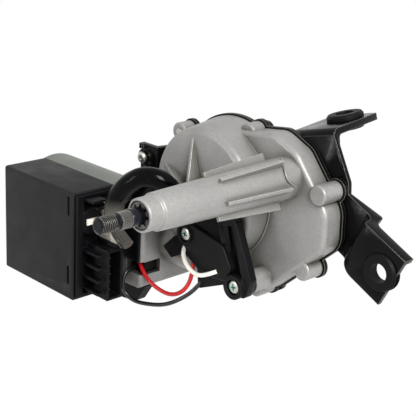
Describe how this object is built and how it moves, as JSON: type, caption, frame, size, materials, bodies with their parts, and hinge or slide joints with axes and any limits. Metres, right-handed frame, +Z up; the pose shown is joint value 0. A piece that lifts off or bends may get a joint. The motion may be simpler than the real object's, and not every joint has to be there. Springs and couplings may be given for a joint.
{
  "type": "rear wiper motor",
  "caption": "Rear wiper gearmotor with a splined output shaft in a long die-cast tube, a drum gearbox, a control module beside the motor can and a folded black bracket on rubber grommets.",
  "frame": {"origin": "on the output shaft's axis, in the middle of the splines that the arm sits on", "axes": "+Y runs along the output shaft into the gearbox, +X points away from the motor can along the armature's axis, +Z is up"},
  "size_m": [0.2748, 0.1761, 0.1271],
  "materials": {
    "shaft_steel": "blackened steel, semi-matt",
    "gear_steel": "machined steel",
    "casting": "die-cast aluminium, satin",
    "can_steel": "zinc-plated drawn steel, satin",
    "black_steel": "black powder coat, gloss",
    "zinc": "zinc plated",
    "black_plastic": "moulded, matt",
    "pale_plastic": "natural polyamide",
    "gear_plastic": "moulded acetal",
    "rubber": "moulded rubber",
    "bronze": "sintered bronze",
    "brass": "tinned blades",
    "copper": "copper",
    "laminations": "stacked steel sheets",
    "ferrite": "sintered ferrite",
    "carbon": "carbon",
    "board": "glass epoxy board",
    "red_lead": "insulation",
    "black_lead": "insulation",
    "white_lead": "insulation"
  },
  "bodies": {
    "housing": {"wheel_axle": "gear_steel", "gear_housing": "casting", "gear_cover": "black_steel", "cover_gasket": "rubber", "cover_screws": "zinc", "mounting_bracket": "black_steel", "upper_grommet": "rubber", "lower_grommet": "rubber", "bracket_screw": "zinc", "motor_can": "can_steel", "field_magnets": "ferrite", "can_bearing": "bronze", "flange_bearing": "bronze", "tunnel_bearing": "bronze", "thrust_pad": "black_plastic", "brush_card": "black_plastic", "brushes": "carbon", "module_cover": "black_plastic", "module_base": "black_plastic", "circuit_board": "board", "relay": "black_plastic", "connector_blades": "brass", "switch_cover": "black_plastic", "switch_screws": "zinc", "breather_elbow": "rubber", "red_lead": "red_lead", "black_lead": "black_lead", "white_lead": "white_lead", "shaft_seal": "rubber", "drain_cap": "black_plastic", "terminal_holder": "pale_plastic", "front_bush": "bronze", "rear_bush": "bronze"},
    "armature": {"armature_shaft": "gear_steel", "worm": "gear_steel", "armature_core": "laminations", "rear_winding": "copper", "front_winding": "copper", "commutator": "copper"},
    "wheel": {"worm_wheel": "gear_plastic", "crank_pin": "gear_steel"},
    "shaft": {"output_shaft": "shaft_steel", "retaining_ring": "shaft_steel", "pinion": "gear_steel"},
    "link": {"guide_link": "gear_steel", "link_pin": "gear_steel"},
    "sector": {"sector_rod": "gear_steel"}
  },
  "joints": [
    {"name": "armature_spin", "type": "hinge", "parent": "housing", "child": "armature", "pos_m": [0, 0.105, -0.057], "axis": [1, 0, 0], "continuous": true},
    {"name": "wheel_spin", "type": "hinge", "parent": "housing", "child": "wheel", "pos_m": [-0.0475, 0.105, -0.019], "axis": [0, 1, 0], "continuous": true},
    {"name": "shaft_swing", "type": "hinge", "parent": "housing", "child": "shaft", "pos_m": [0, 0, 0], "axis": [0, 1, 0], "range_deg": [-66.6, 66.6]},
    {"name": "link_swing", "type": "hinge", "parent": "housing", "child": "link", "pos_m": [0, 0.1177, 0], "axis": [0, 1, 0], "range_deg": [-20, 20]},
    {"name": "sector_swing", "type": "hinge", "parent": "link", "child": "sector", "pos_m": [0, 0.1145, -0.025], "axis": [0, 1, 0], "range_deg": [-20, 20]}
  ],
  "couplings": [
    {"joint": "wheel_spin", "follows": "armature_spin", "ratio": 0.019231},
    {"joint": "link_swing", "follows": "shaft_swing", "ratio": 0.3},
    {"joint": "sector_swing", "follows": "shaft_swing", "ratio": -0.3}
  ]
}
